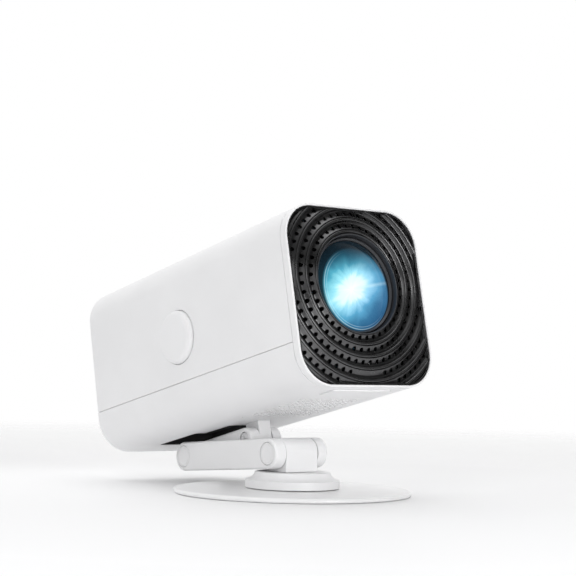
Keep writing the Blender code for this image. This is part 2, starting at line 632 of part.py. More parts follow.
def build_impeller(front, depth):
    """Seven blades round a hub, twisted along the axis."""
    blades, hub, tip, half_angle = 7, 13.0, 32.0, math.radians(5.0)
    outline = []
    for number in range(blades):
        middle = 2 * math.pi * number / blades
        for radius, angle in ((hub, -2.2), (tip, -1.0), (tip, 1.0), (hub, 2.2)):
            turn = middle + angle * half_angle
            outline.append((radius * math.cos(turn), radius * math.sin(turn)))
    shape = bmesh.new()
    face = shape.faces.new([shape.verts.new(Vector((x, y, 0.0)) * MM) for x, y in outline])
    layers, twist = 3, math.radians(30)
    for layer in range(layers):
        raised = bmesh.ops.extrude_face_region(shape, geom=[face])["geom"]
        moved = [item for item in raised if isinstance(item, bmesh.types.BMVert)]
        faces = [item for item in raised if isinstance(item, bmesh.types.BMFace)]
        bmesh.ops.translate(shape, verts=moved, vec=(0, 0, depth * MM / layers))
        spin = (math.cos(twist / layers), math.sin(twist / layers))
        for vert in moved:
            x, y = vert.co.x, vert.co.y
            vert.co.x, vert.co.y = x * spin[0] - y * spin[1], x * spin[1] + y * spin[0]
        if layer:
            bmesh.ops.delete(shape, geom=[face], context="FACES_ONLY")
        face = faces[0]
    bmesh.ops.recalc_face_normals(shape, faces=shape.faces)
    mesh = bpy.data.meshes.new("fan_impeller")
    shape.to_mesh(mesh)
    shape.free()
    place("fan_impeller", mesh, housing, on_axis(front), TURN["Y"], DARK)


# ---------------------------------------------------------------- electronics

def build_electronics():
    board = box("main_board", (-34.2, 128, -44.0), (34.2, 211, -42.4), housing, BOARD)
    join(board, box("main_chip", (-8, 160, -42.6), (8, 176, -40.4), housing, None),
         box("memory_chip", (12, 164, -42.6), (24, 172, -41.0), housing, None))
    driver = box("led_driver_board", (-34, 172, 40.0), (34, 206, 41.6), housing, BOARD)
    join(driver, cylinder("capacitor", 5, (-20, 189, 28), 12.5, "Z", housing, None, 16),
         cylinder("capacitor_small", 4, (-6, 189, 30), 10.5, "Z", housing, None, 16))
    turned("driver_coil", [(4, 39.7), (9, 39.7), (9, 31), (4, 31)], "Z", (16, 189, 0), housing, STEEL, 20,
           True)
    turned("speaker", [(0, -33.5), (14, -33.5), (14, -39), (22, -46), (24, -48.4), (24, -50.4), (21, -50.4),
                       (8, -46), (0, -45.6)], "Z", (0, 64, 0), housing, BLACK, 24)


def build_sockets():
    bottom = -41.6
    hdmi = box("hdmi_socket", (-33.8, 202.6, bottom), (-18.2, 214.9, -35.0), housing, STEEL)
    cut(hdmi, box("hdmi_mouth", (-33.1, 205, -40.4), (-18.9, 218, -36.0), housing, None))
    usb = box("usb_socket", (-9.8, 202.6, bottom), (4.8, 214.9, -35.0), housing, STEEL)
    cut(usb, box("usb_mouth", (-9.0, 205, -41.0), (4.0, 218, -35.7), housing, None))
    audio = box("audio_jack", (12.9, 202.6, bottom), (20.3, 214.9, -35.0), housing, BLACK)
    cut(audio, cylinder("audio_bore", 1.8, (16.6, 205, -38.3), 15, "Y", housing, None, 16))
    inlet = box("dc_inlet", (24.6, 202.6, bottom), (34.0, 214.9, -35.0), housing, BLACK)
    cut(inlet, turned("inlet_ring", [(0.9, 14), (2.8, 14), (2.8, 0), (0.9, 0)], "Y", (29.3, 205, -38.3),
                      housing,
                      None, 20, True))


def build_button():
    middle = (0, BUTTON_BACK, BUTTON_RISE)
    face = -BODY_WIDTH / 2 - BUTTON_PROUD
    edge = arc((BUTTON_RADIUS - BUTTON_ROUND, face + BUTTON_ROUND), BUTTON_ROUND, 0, -84, 5)
    turned("side_button", [(0, -44.8), (2.4, -44.8), (2.4, -46.3), (18.3, -46.3), (18.3, -47.3),
                           (BUTTON_RADIUS, -47.3)] + edge + [(0, face)],
           "X", middle, housing, WHITE, 36)
    box("button_switch", (-43.1, BUTTON_BACK - 3, BUTTON_RISE - 3),
        (-40.5, BUTTON_BACK + 3, BUTTON_RISE + 3), housing,
        DARK)
    box("button_board", (-40.2, BUTTON_BACK - 10, BUTTON_RISE - 9),
        (-38.6, BUTTON_BACK + 10, BUTTON_RISE + 9), housing,
        BOARD)
    turns, coil_radius, wire, per_turn = 3, 5.3, 0.35, 12
    start, end = -46.0 + wire + 0.1, -40.5 - wire - 0.1
    count = int(turns * per_turn)
    curve = bpy.data.curves.new("button_spring", "CURVE")
    curve.dimensions = "3D"
    curve.bevel_depth = wire * MM
    curve.bevel_resolution = 2
    curve.use_fill_caps = True
    path = curve.splines.new("POLY")
    path.points.add(count)
    for i in range(count + 1):
        angle = 2 * math.pi * i / per_turn
        along = start + (end - start) * i / count
        path.points[i].co = (*(Vector((along, BUTTON_BACK + coil_radius * math.cos(angle),
                                       BUTTON_RISE + coil_radius * math.sin(angle))) * MM), 1.0)
    place_curve(curve)


def place_curve(curve):
    made = bpy.data.objects.new(curve.name, curve)
    parts.objects.link(made)
    curve.materials.append(STEEL)
    made.parent = housing


build_base()
build_swivel()
build_lower_arm()
build_upper_arm()
build_lug()
build_shells()
build_grille()
build_rear()
build_underside()
build_lens()
build_light_engine()
build_cooling()
build_electronics()
build_sockets()
build_button()
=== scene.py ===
"""Home projector on a folding stand: fine shells, panel, lens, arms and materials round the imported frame.

Lengths are in millimetres in the frame of the part they belong to, and become metres through MM.
HOUSING has X across, Y from the front edge backwards and Z up from the section's centre.
LOWER starts at the lower arm's front hinge and UPPER at the upper arm's rear hinge. In both, Y runs
backwards along the arm.
"""
import json
import math

import bmesh  # noqa: E402
import bpy  # noqa: E402
from mathutils import Matrix, Vector  # noqa: E402


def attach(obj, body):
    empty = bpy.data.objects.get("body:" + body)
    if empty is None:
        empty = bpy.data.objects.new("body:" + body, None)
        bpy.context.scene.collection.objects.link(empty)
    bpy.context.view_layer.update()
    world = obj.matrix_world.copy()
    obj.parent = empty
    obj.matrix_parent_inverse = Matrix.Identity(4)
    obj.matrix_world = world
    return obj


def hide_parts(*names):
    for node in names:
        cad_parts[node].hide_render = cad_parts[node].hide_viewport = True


MM = 0.001
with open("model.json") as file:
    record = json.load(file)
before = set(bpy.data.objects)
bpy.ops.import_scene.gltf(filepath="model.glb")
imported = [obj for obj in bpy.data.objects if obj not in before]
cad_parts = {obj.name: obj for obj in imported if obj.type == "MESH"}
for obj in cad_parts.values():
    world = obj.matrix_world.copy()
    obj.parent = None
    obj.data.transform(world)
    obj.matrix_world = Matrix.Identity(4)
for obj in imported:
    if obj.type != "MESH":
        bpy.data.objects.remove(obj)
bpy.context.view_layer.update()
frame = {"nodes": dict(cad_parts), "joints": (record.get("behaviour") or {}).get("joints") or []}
NODES = frame["nodes"]
JOINTS = {joint["name"]: joint for joint in frame["joints"]}
ACROSS = Vector((1, 0, 0))


# ---------------------------------------------------------------- frames, read from the joints

def joint_point(name):
    return Vector(JOINTS[name]["pos_m"])


def frame_along(origin, back):
    """A frame at origin with X across, Y along back and Z up from it."""
    back = back.normalized()
    made = Matrix((ACROSS, back, ACROSS.cross(back))).transposed().to_4x4()
    made.translation = origin
    return made


def box_in(node, matrix):
    """A node's lowest and highest corner in a frame, in millimetres."""
    inverse = matrix.inverted()
    points = [inverse @ vert.co / MM for vert in NODES[node].data.vertices]
    low = Vector([min(p[i] for p in points) for i in range(3)])
    high = Vector([max(p[i] for p in points) for i in range(3)])
    return low, high


HINGE_A, HINGE_B, HINGE_C = (joint_point(n) for n in ("lower_arm_fold", "upper_arm_fold", "head_tilt"))
WORLD = Matrix.Identity(4)
LOWER = frame_along(HINGE_A, HINGE_B - HINGE_A)
UPPER = frame_along(HINGE_B, HINGE_B - HINGE_C)
OPTICAL = frame_along(joint_point("fan_spin"), Vector(JOINTS["fan_spin"]["axis"]))
bezel_low, bezel_high = box_in("front_bezel", OPTICAL)
middle = Vector((0.0, bezel_low.y, (bezel_low.z + bezel_high.z) / 2))
HOUSING = frame_along(OPTICAL @ (middle * MM), Vector(JOINTS["fan_spin"]["axis"]))

# housing
HALF_WIDTH = (bezel_high.x - bezel_low.x) / 2
HALF_HEIGHT = (bezel_high.z - bezel_low.z) / 2
BEZEL_DEPTH = bezel_high.y - bezel_low.y
LENS_RISE = -middle.z
CORNER = 21.5
WALL = 2.2
BEZEL_WALL = 1.2
GAP = 0.3
SEAM = box_in("upper_shell", HOUSING)[0].z - GAP / 2
BODY_END = box_in("upper_shell", HOUSING)[1].y
BOTTOM = -HALF_HEIGHT
CORNER_STEPS = 18

# stand
ARM_LENGTH = (HINGE_B - HINGE_A).length / MM
REACH = (HINGE_B - HINGE_C).length / MM
ARM_RADIUS = 9.2
ARM_HALF_WIDTH = 19.8
ARM_BOX = 15.0                # reach of the cuts past an arm's outline
CHANNEL = 12.4
THROUGH = 25.0                # a cut this far each way goes right through an arm
PIN = 2.7
TILT_BORE = 2.3
CAP_RADIUS = 6.7
REAR_RADIUS, FRONT_RADIUS = 7.4, 7.3
UPPER_HALF_WIDTH = 12.1
LUG_HALF_WIDTH = 4.7
HINGE_HEIGHT = HINGE_A.z / MM
RING_STEPS = 160


# ---------------------------------------------------------------- outlines

def arc(centre, radius, start, end, steps):
    """Points along an arc, angles in degrees from the first axis."""
    angles = [math.radians(start + (end - start) * i / steps) for i in range(steps + 1)]
    return [(centre[0] + radius * math.cos(a), centre[1] + radius * math.sin(a)) for a in angles]


def rounded_rectangle(half_width, half_height, radius, steps=6, centre=(0.0, 0.0)):
    points = []
    for side, level, start in ((1, 1, 0), (-1, 1, 90), (-1, -1, 180), (1, -1, 270)):
        corner = (centre[0] + side * (half_width - radius), centre[1] + level * (half_height - radius))
        points += arc(corner, radius, start, start + 90, steps)
    return points


def capsule(length, first_radius, second_radius, steps=24):
    """Circles at 0 and at length along the first axis, and their common tangents."""
    lean = math.degrees(math.asin((first_radius - second_radius) / length))
    return (arc((length, 0), second_radius, -90 + lean, 90 - lean, steps)
            + arc((0, 0), first_radius, 90 - lean, 270 + lean, steps))


def body_outline(inset):
    return rounded_rectangle(HALF_WIDTH - inset, HALF_HEIGHT - inset, CORNER - inset, CORNER_STEPS)


def rounded_levels(low, high, radius, steps=4):
    """(inset, level) pairs from low to high with a quarter round at both ends."""
    start = [(x, low + radius + y) for x, y in arc((radius, 0), radius, 270, 180, steps)]
    end = [(x, high - radius + y) for x, y in arc((radius, 0), radius, 180, 90, steps)]
    return start + end


def rounded_wall(thickness, front, rear, radius, steps=4):
    """A closed (inset, level) loop: a wall whose outer edges are rounded."""
    return [(thickness, front)] + rounded_levels(front, rear, radius, steps) + [(thickness, rear)]


# ---------------------------------------------------------------- mesh making

def new_object(name, shape, matrix):
    """A bmesh in millimetres becomes an object in a frame."""
    bmesh.ops.remove_doubles(shape, verts=shape.verts, dist=1e-4)
    bmesh.ops.recalc_face_normals(shape, faces=shape.faces)
    bmesh.ops.scale(shape, vec=(MM, MM, MM), verts=shape.verts)
    mesh = bpy.data.meshes.new(name)
    shape.to_mesh(mesh)
    shape.free()
    made = bpy.data.objects.new(name, mesh)
    bpy.context.scene.collection.objects.link(made)
    made.matrix_world = matrix
    return made


def spot(pair, level, axis):
    """A point from a pair across an axis and its level along it."""
    point = list(pair)
    point.insert("XYZ".index(axis), level)
    return Vector(point)


def loft(name, loops, matrix, joined=False):
    """Skins closed loops of points in turn, then joins the last to the first or caps both ends."""
    shape = bmesh.new()
    rows = [[shape.verts.new(point) for point in loop] for loop in loops]
    count = len(rows[0])
    pairs = list(zip(rows, rows[1:]))
    if joined:
        pairs.append((rows[-1], rows[0]))
    for row, following in pairs:
        for i in range(count):
            j = (i + 1) % count
            shape.faces.new((row[i], row[j], following[j], following[i]))
    if not joined:
        for loop, row in ((loops[0], rows[0]), (loops[-1], rows[-1])):
            if (Vector(loop[0]) - Vector(loop[count // 2])).length > 1e-3:
                shape.faces.new(row)
    return new_object(name, shape, matrix)


def turned(name, profile, axis, centre, matrix, steps=RING_STEPS, ring=False):
    """A profile of (radius, level) points turned about an axis through centre."""
    turns = [2 * math.pi * i / steps for i in range(steps)]
    loops = []
    for radius, level in profile:
        loops.append([spot((radius * math.cos(a), radius * math.sin(a)), level, axis) + Vector(centre)
                      for a in turns])
    return loft(name, loops, matrix, joined=ring)


def solid(name, outline_at, levels, axis, matrix, joined=False):
    """An outline that depends on its inset, run through (inset, level) pairs along an axis."""
    return loft(name, [[spot(pair, level, axis) for pair in outline_at(inset)] for inset, level in levels],
                matrix, joined)


def block(name, low, high, matrix, radius=0.3, axis="Z", corner=None):
    """A box with rounded edges."""
    others = [i for i in range(3) if i != "XYZ".index(axis)]
    size = [(high[i] - low[i]) / 2 for i in others]
    centre = [(high[i] + low[i]) / 2 for i in others]
    along = "XYZ".index(axis)
    corner = corner or radius * 1.5

    def outline(inset):
        return rounded_rectangle(size[0] - inset, size[1] - inset, max(corner - inset, 0.02), 4, centre)
    return solid(name, outline, rounded_levels(low[along], high[along], radius, 3), axis, matrix)


def cutter(name, outline, low, high, axis, matrix):
    return solid(name, lambda inset: outline, [(0, low), (0, high)], axis, matrix)


def bore(name, radius, centre, low, high, axis, matrix, sides=32):
    """A cylinder to cut with; centre is in the two axes across it."""
    return cutter(name, arc(centre, radius, 0, 360 - 360 / sides, sides - 1), low, high, axis, matrix)


def merged(name, others):
    """Several objects of one frame as one mesh."""
    shape = bmesh.new()
    for other in others:
        shape.from_mesh(other.data)
    mesh = bpy.data.meshes.new(name)
    shape.to_mesh(mesh)
    shape.free()
    made = bpy.data.objects.new(name, mesh)
    bpy.context.scene.collection.objects.link(made)
    made.matrix_world = others[0].matrix_world
    for other in others:
        bpy.data.objects.remove(other, do_unlink=True)
    return made


def carve(made, *others, operation="DIFFERENCE"):
    """Cuts, joins or intersects for good, and removes the other objects."""
    for other in others:
        step = made.modifiers.new(other.name, "BOOLEAN")
        step.operation = operation
        step.solver = "EXACT"
        step.object = other
    bpy.context.view_layer.update()
    evaluated = made.evaluated_get(bpy.context.evaluated_depsgraph_get())
    mesh = bpy.data.meshes.new_from_object(evaluated)
    made.modifiers.clear()
    made.data = mesh
    for other in others:
        bpy.data.objects.remove(other, do_unlink=True)
    return made


def finish(made, surface, body, slot, *nodes, bevel=0.0, angle=32, steps=2):
    """Shades a piece, softens its sharp edges, gives it its material and body, and hides the CAD nodes it
    stands for; slot is not used.
    """
    mesh = made.data
    mesh.materials.clear()
    mesh.materials.append(surface)
    mesh.shade_smooth()
    mesh.set_sharp_from_angle(angle=math.radians(angle))
    if bevel:
        soft = made.modifiers.new("soft_edges", "BEVEL")
        soft.width = bevel * MM
        soft.segments = steps
        soft.limit_method = "ANGLE"
        soft.angle_limit = math.radians(45)
        soft.use_clamp_overlap = True
    weight = made.modifiers.new("even_normals", "WEIGHTED_NORMAL")
    weight.keep_sharp = True
    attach(made, body)
    if nodes:
        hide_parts(*nodes)
    return made


# ---------------------------------------------------------------- materials

class Graph:
    """A material's node tree with the Principled shader at its end."""

    def __init__(self, name):
        self.material = bpy.data.materials.new(name)
        self.material.use_nodes = True
        self.tree = self.material.node_tree
        self.shader = self.tree.nodes["Principled BSDF"]
        self.place = self.tree.nodes.new("ShaderNodeTexCoord").outputs["Object"]

    def add(self, kind, links=None, values=None, **settings):
        made = self.tree.nodes.new("ShaderNode" + kind)
        for key, value in settings.items():
            setattr(made, key, value)
        for key, value in (values or {}).items():
            made.inputs[key].default_value = value
        for key, value in (links or {}).items():
            self.tree.links.new(value, made.inputs[key])
        return made

    def noise(self, scale, detail=2.0, stretch=(1, 1, 1)):
        moved = self.add("Mapping", {"Vector": self.place}, {"Scale": stretch})
        return self.add("TexNoise", {"Vector": moved.outputs[0]},
                        {"Scale": scale, "Detail": detail}).outputs[0]

    def ramp(self, factor, stops):
        made = self.add("ValToRGB", {"Fac": factor})
        points = made.color_ramp.elements
        while len(points) < len(stops):
            points.new(0.5)
        for point, (position, colour) in zip(points, stops):
            point.position = position
            point.color = (*colour, 1.0)
        return made.outputs["Color"]

    def two_tone(self, factor, first, second):
        """Drifts between two colours with a noise."""
        return self.ramp(factor, [(0.3, first), (0.7, second)])

    def spread(self, value, low, high, start=0.3, end=0.7):
        """Maps a texture's value to a range."""
        return self.add("MapRange", {"Value": value}, {"From Min": start, "From Max": end, "To Min": low,
                                                       "To Max": high}).outputs[0]

    def mixed(self, factor, first, second, blend="MIX"):
        """Two colours mixed; factor and second may be a socket or a value."""
        made = self.add("Mix", data_type="RGBA", blend_type=blend)
        for number, term in ((0, factor), (6, first), (7, second)):
            if isinstance(term, (int, float)):
                made.inputs[number].default_value = term
            elif isinstance(term, tuple):
                made.inputs[number].default_value = (*term, 1.0)
            else:
                self.tree.links.new(term, made.inputs[number])
        return made.outputs[2]

    def maths(self, operation, *terms):
        made = self.add("Math", operation=operation)
        for socket, term in zip(made.inputs, terms):
            if isinstance(term, (int, float)):
                socket.default_value = term
            else:
                self.tree.links.new(term, socket)
        return made.outputs[0]

    def relief(self, height, distance, strength=1.0):
        bump = self.add("Bump", {"Height": height}, {"Distance": distance * MM, "Strength": strength})
        self.tree.links.new(bump.outputs[0], self.shader.inputs["Normal"])

    def link(self, value, socket):
        self.tree.links.new(value, self.shader.inputs[socket])

    def set(self, **values):
        for key, value in values.items():
            self.shader.inputs[key.replace("_", " ")].default_value = value


def shade(colour, factor):
    return tuple(min(1.0, c * factor) for c in colour)


def moulded(name, colour, roughness, grain=2600, relief=0.012, coat=0.0):
    """Moulded plastic: a faint drift of colour, uneven gloss and a fine eroded grain."""
    g = Graph(name)
    g.link(g.two_tone(g.noise(22, 3), shade(colour, 0.975), shade(colour, 1.015)), "Base Color")
    g.link(g.spread(g.noise(60, 4), roughness - 0.05, roughness + 0.05), "Roughness")
    g.relief(g.noise(grain, 2), relief)
    g.set(Coat_Weight=coat, Coat_Roughness=0.12)
    return g.material


def satin_black(name):
    """Black plastic under a dark satin metal lacquer, with an uneven gloss."""
    g = Graph(name)
    g.link(g.two_tone(g.noise(40, 3), (0.09, 0.09, 0.092), (0.13, 0.13, 0.132)), "Base Color")
    g.link(g.spread(g.noise(90, 4), 0.24, 0.34), "Roughness")
    g.relief(g.noise(1800, 2), 0.004)
    g.set(Metallic=1.0)
    return g.material


def metal(name, colour, roughness, stretch=(1, 1, 1), scale=900):
    """Machined metal: fine tool lines and patches of handling."""
    g = Graph(name)
    lines = g.noise(scale, 3, stretch)
    g.link(g.two_tone(g.noise(90, 3), shade(colour, 0.85), colour), "Base Color")
    g.link(g.spread(lines, roughness - 0.08, roughness + 0.1), "Roughness")
    g.relief(lines, 0.01)
    g.set(Metallic=1.0)
    return g.material


def rubber(name):
    g = Graph(name)
    g.link(g.two_tone(g.noise(300, 4), (0.012, 0.012, 0.012), (0.03, 0.03, 0.03)), "Base Color")
    g.link(g.spread(g.noise(120, 2), 0.7, 0.9), "Roughness")
    g.relief(g.noise(1500, 3), 0.05)
    return g.material


def circuit_board(name):
    """Green mask over copper lanes, with pale pads."""
    g = Graph(name)
    lanes = g.add("TexBrick", {"Vector": g.place}, {"Scale": 260.0, "Mortar Size": 0.03,
                                                    "Color1": (0.01, 0.1, 0.04, 1),
                                                    "Color2": (0.012, 0.13, 0.05, 1),
                                                    "Mortar": (0.05, 0.3, 0.1, 1)})
    cells = g.add("TexVoronoi", {"Vector": g.place}, {"Scale": 420.0}).outputs["Distance"]
    pads = g.maths("LESS_THAN", cells, 0.16)
    g.link(g.mixed(pads, lanes.outputs["Color"], (0.6, 0.55, 0.42)), "Base Color")
    g.link(g.spread(g.noise(200, 2), 0.3, 0.5), "Roughness")
    g.relief(pads, 0.03)
    return g.material


def optic(name, colour, roughness=0.04):
    """Clear inner optics with a thin tinted coat."""
    g = Graph(name)
    g.link(g.two_tone(g.noise(30, 2), shade(colour, 0.9), colour), "Base Color")
    g.link(g.spread(g.noise(80, 2), roughness, roughness + 0.05), "Roughness")
    g.set(Transmission_Weight=0.9, IOR=1.5)
    return g.material


GLOW_CENTRE = (-4.3, -3.2)    # from the middle of the glass
DISC_CENTRE = (1.6, -2.2)


def lit_lens(name):
    """The front glass, dark and coated, with the lamp's cold light painted on it as a glow off its centre.
    """
    g = Graph(name)
    place = g.add("SeparateXYZ", {"Vector": g.place}).outputs
    x, rise = place["X"], g.maths("SUBTRACT", place["Z"], LENS_RISE * MM)

    def turned_by(centre, degrees):
        """Distances along and across a line through centre."""
        lean = math.radians(degrees)
        across = g.maths("SUBTRACT", x, centre[0] * MM)
        up = g.maths("SUBTRACT", rise, centre[1] * MM)
        along = g.maths("ADD", g.maths("MULTIPLY", across, math.cos(lean)),
                        g.maths("MULTIPLY", up, math.sin(lean)))
        over = g.maths("SUBTRACT", g.maths("MULTIPLY", up, math.cos(lean)),
                       g.maths("MULTIPLY", across, math.sin(lean)))
        return along, over

    def length(first, second):
        joined = g.add("CombineXYZ", {"X": first, "Y": second}).outputs[0]
        return g.add("VectorMath", {0: joined}, operation="LENGTH").outputs["Value"]

    # the painted glow is longer along a line that climbs to the right, and frays into fine painted rays
    along, over = turned_by(GLOW_CENTRE, 30)
    far = length(g.maths("MULTIPLY", along, 0.58), over)
    angle = g.maths("ARCTAN2", over, along)
    polar = g.add("CombineXYZ", {"X": g.maths("MULTIPLY", angle, 1.1), "Y": g.maths("MULTIPLY", far, 45.0)})
    rays = g.add("TexNoise", {"Vector": polar.outputs[0]}, {"Scale": 2.2, "Detail": 6.0}).outputs["Fac"]
    ragged = g.maths("ADD", far, g.maths("MULTIPLY", g.maths("SUBTRACT", rays, 0.5), 9.0 * MM))
    glow = g.ramp(g.maths("DIVIDE", ragged, 27.0 * MM),
                  [(0.0, (1.0, 1.0, 1.0)), (0.22, (0.80, 0.97, 1.0)), (0.33, (0.38, 0.76, 0.90)),
                   (0.50, (0.10, 0.38, 0.54)), (0.72, (0.035, 0.17, 0.28)), (1.0, (0.01, 0.075, 0.15))])
    # the painted glow is deeper blue towards the lower right, turquoise towards the upper left
    side = g.maths("ADD", g.maths("MULTIPLY", x, 0.8), g.maths("MULTIPLY", rise, -0.6))
    tint = g.ramp(g.spread(side, 0.0, 1.0, -24 * MM, 24 * MM),
                  [(0.0, (0.75, 1.1, 0.95)), (1.0, (1.1, 0.9, 1.15))])
    glow = g.mixed(0.8, glow, tint, "MULTIPLY")
    # painted light: one long flare ray, and two thin arcs of painted highlight inside the rim at the lower
    # left
    along, over = turned_by(GLOW_CENTRE, 11)
    painted_flare_ray = g.spread(g.maths("ABSOLUTE", over), 1.0, 0.0, 0.0, 1.5 * MM)
    painted_flare_ray = g.maths("MULTIPLY", painted_flare_ray, g.spread(along, 0.0, 0.55, 1.0 * MM, 6.0 * MM))
    painted_flare_ray = g.maths("MULTIPLY", painted_flare_ray, g.spread(along, 1.0, 0.35, 8.0 * MM, 27.0 * MM))
    disc_x, disc_z = turned_by(DISC_CENTRE, 0)
    radius = length(disc_x, disc_z)

    def thin_arc(ring, strength, start, end):
        away = g.maths("ABSOLUTE", g.maths("SUBTRACT", radius, ring * MM))
        return g.spread(away, strength, 0.0, start * MM, end * MM)

    painted_highlight_arcs = g.maths("ADD", thin_arc(24.0, 1.0, 0.05, 0.35), thin_arc(22.6, 0.6, 0.0, 0.3))
    lower_left = g.maths("ADD", disc_x, g.maths("MULTIPLY", disc_z, 0.7))
    lower_left = g.spread(lower_left, 0.55, 0.04, -20 * MM, 8 * MM)
    painted_flare_and_highlights = g.maths("ADD", painted_flare_ray, g.maths("MULTIPLY", painted_highlight_arcs, lower_left))
    # painted shade: the glow fades to dark at the rim and dims towards the top, standing for the shaded
    # inner wall of the hood
    edge = g.spread(radius, 1.0, 0.05, 23.6 * MM, 25.4 * MM)
    top = g.spread(rise, 1.0, 0.16, 8.0 * MM, 22.0 * MM)
    g.link(g.mixed(painted_flare_and_highlights, glow, (0.72, 0.95, 1.0)), "Emission Color")
    g.link(g.maths("MULTIPLY", g.maths("MULTIPLY", edge, top), 1.15), "Emission Strength")
    g.link(g.two_tone(rays, (0.004, 0.012, 0.02), (0.008, 0.02, 0.03)), "Base Color")
    g.set(Roughness=0.06, Coat_Weight=1.0, Coat_Roughness=0.03, IOR=1.5)
    return g.material


WHITE = moulded("white_moulded_plastic", (0.86, 0.86, 0.868), 0.42)
STAND = moulded("white_stand_plastic", (0.87, 0.87, 0.876), 0.38, 3200)
PAINT = moulded("white_painted_steel", (0.88, 0.88, 0.885), 0.34, 700, 0.008, 0.25)
PANEL = satin_black("black_panel_plastic")
DARK = moulded("black_inner_plastic", (0.012, 0.012, 0.013), 0.5, 1500, 0.03)
HOOD = moulded("dark_hood_plastic", (0.035, 0.036, 0.04), 0.34, 1800, 0.006)
RUBBER = rubber("ribbed_rubber")
STEEL = metal("plated_steel", (0.66, 0.67, 0.69), 0.28)
WHITE_SCREW = moulded("painted_screw", (0.78, 0.78, 0.79), 0.36, 1800, 0.01)
ALUMINIUM = metal("extruded_aluminium", (0.74, 0.75, 0.77), 0.36, (1, 1, 14), 260)
COPPER = metal("wound_copper", (0.72, 0.34, 0.16), 0.3, (1, 1, 6), 700)
BOARD = circuit_board("circuit_board")
GLOWING_GLASS = lit_lens("lit_front_glass")
OPTIC = optic("clear_optic", (0.85, 0.93, 1.0))
SCREEN = optic("lcd_screen", (0.25, 0.3, 0.36), 0.12)
LAMP = moulded("led_phosphor", (0.9, 0.78, 0.25), 0.45, 900, 0.03)
SMOKED = moulded("smoked_window", (0.012, 0.006, 0.008), 0.12, 1200, 0.002, 0.6)
GOLD = metal("gold_contacts", (0.9, 0.68, 0.3), 0.25)


# ---------------------------------------------------------------- base and pedestal

def build_base():
    grooves = [(0, 0.35), (38, 0.35), (38.6, 0.0), (45, 0.0), (45.6, 0.35), (52, 0.35), (52.6, 0.0),
               (59, 0.0), (59.6, 0.35), (63, 0.35), (63.6, 0.0)]
    rim = arc((66.6, 0.6), 0.6, 270, 360, 4)
    foot = turned("rubber_foot_ring", grooves + rim + [(67.2, 1.2), (0, 1.2)], "Z", (0, 0, 0), WORLD)
    finish(foot, RUBBER, "base", "rubber", "rubber_foot")
    top = [(18.5 + 51.8 * i / 16, 3.5 - 0.4 * (i / 16) ** 2) for i in range(17)]
    edge = arc((70.3, 1.65), 1.45, 90, -90, 12)
    hub = [(3.2, 6.5), (15.2, 6.5), (15.5, 6.2), (16.6, 4.2)]
    under = [(67.6, 0.2), (67.6, 1.5), (8.5, 1.5), (8.5, 4.5), (3.2, 4.5)]
    disc = turned("domed_base_disc", hub + top + edge + under, "Z", (0, 0, 0), WORLD, 224, ring=True)
    finish(disc, PAINT, "base", "base_plate", "base_disc")


def build_pedestal():
    flare = arc((28.6, 14.9), 6.0, 197, 258, 16)
    lip = arc((22.0, 13.0), 0.4, 90, 20, 3)
    shoulder = arc((28.2, 8.35), 0.4, 80, 0, 4)
    foot = arc((28.2, 4.3), 0.4, 0, -90, 4)
    body = turned("flared_pedestal", [(2.9, 13.4)] + lip + flare + shoulder + foot
                  + [(26.4, 3.9), (26.4, 8.1), (2.9, 8.1)], "Z", (0, 0, 0), WORLD, ring=True)
    finish(body, STAND, "swivel", "white_stand", "pedestal")
    bottom = 13.7

    def outline(inset):
        half = ARM_RADIUS - inset
        return [(half, bottom)] + arc((0, HINGE_HEIGHT), half, 0, 180, 32) + [(-half, bottom)]
    post = solid("round_topped_post", outline, rounded_levels(-12.0, 12.0, 0.6), "X", WORLD)
    carve(post, bore("post_bore", PIN + GAP, (0, HINGE_HEIGHT), -20, 20, "X", WORLD),
          bore("post_screw_bore", 2.9, (0, 0), 5, 20.5, "Z", WORLD))
    finish(post, STAND, "swivel", "white_stand", "hinge_post")


# ---------------------------------------------------------------- arms

def pin_cap(name, side, back):
    """A hinge's end cap with a fine ring round its face."""
    face = [(0, 0.65), (5.2, 0.65), (5.35, 0.42), (5.75, 0.42), (5.9, 0.62)]
    profile = face + arc((6.35, 0.3), 0.35, 80, 0, 4) + [(CAP_RADIUS, -0.65), (0, -0.65)]
    profile = [(radius, side * (ARM_HALF_WIDTH - 0.55 + level)) for radius, level in profile]
    made = turned(name + "_disc", profile, "X", (0, back, 0), LOWER, 72)
    finish(made, STAND, "lower_arm", "white_stand", name)


def build_lower_arm():
    arm = solid("channel_arm", lambda inset: capsule(ARM_LENGTH, ARM_RADIUS - inset, ARM_RADIUS - inset),
                rounded_levels(-ARM_HALF_WIDTH, ARM_HALF_WIDTH, 1.5, 6), "X", LOWER)
    floor, clear, far, end = -6.4, 15.0, ARM_LENGTH - 20.0, ARM_LENGTH + ARM_BOX
    channel = [(-ARM_BOX, -ARM_BOX), (clear, -ARM_BOX), (clear, floor), (far, floor), (far, -ARM_BOX),
               (end, -ARM_BOX), (end, ARM_BOX), (-ARM_BOX, ARM_BOX)]
    cuts = [cutter("arm_channel", channel, -CHANNEL, CHANNEL, "X", LOWER)]
    seat, outside, recess = ARM_HALF_WIDTH - 1.5, 20.5, CAP_RADIUS + GAP
    for back in (0.0, ARM_LENGTH):
        cuts.append(bore("pin_bore", PIN + GAP, (back, 0), -THROUGH, THROUGH, "X", LOWER))
        cuts.append(bore("left_recess", recess, (back, 0), -outside, -seat, "X", LOWER, 72))
        cuts.append(bore("right_recess", recess, (back, 0), seat, outside, "X", LOWER, 72))
    carve(arm, *cuts)
    finish(arm, STAND, "lower_arm", "white_stand", "lower_arm", bevel=0.3, angle=30)
    for letter, back in (("a", 0.0), ("b", ARM_LENGTH)):
        for hand, side in (("left", -1), ("right", 1)):
            pin_cap("hinge_" + letter + "_cap_" + hand, side, back)


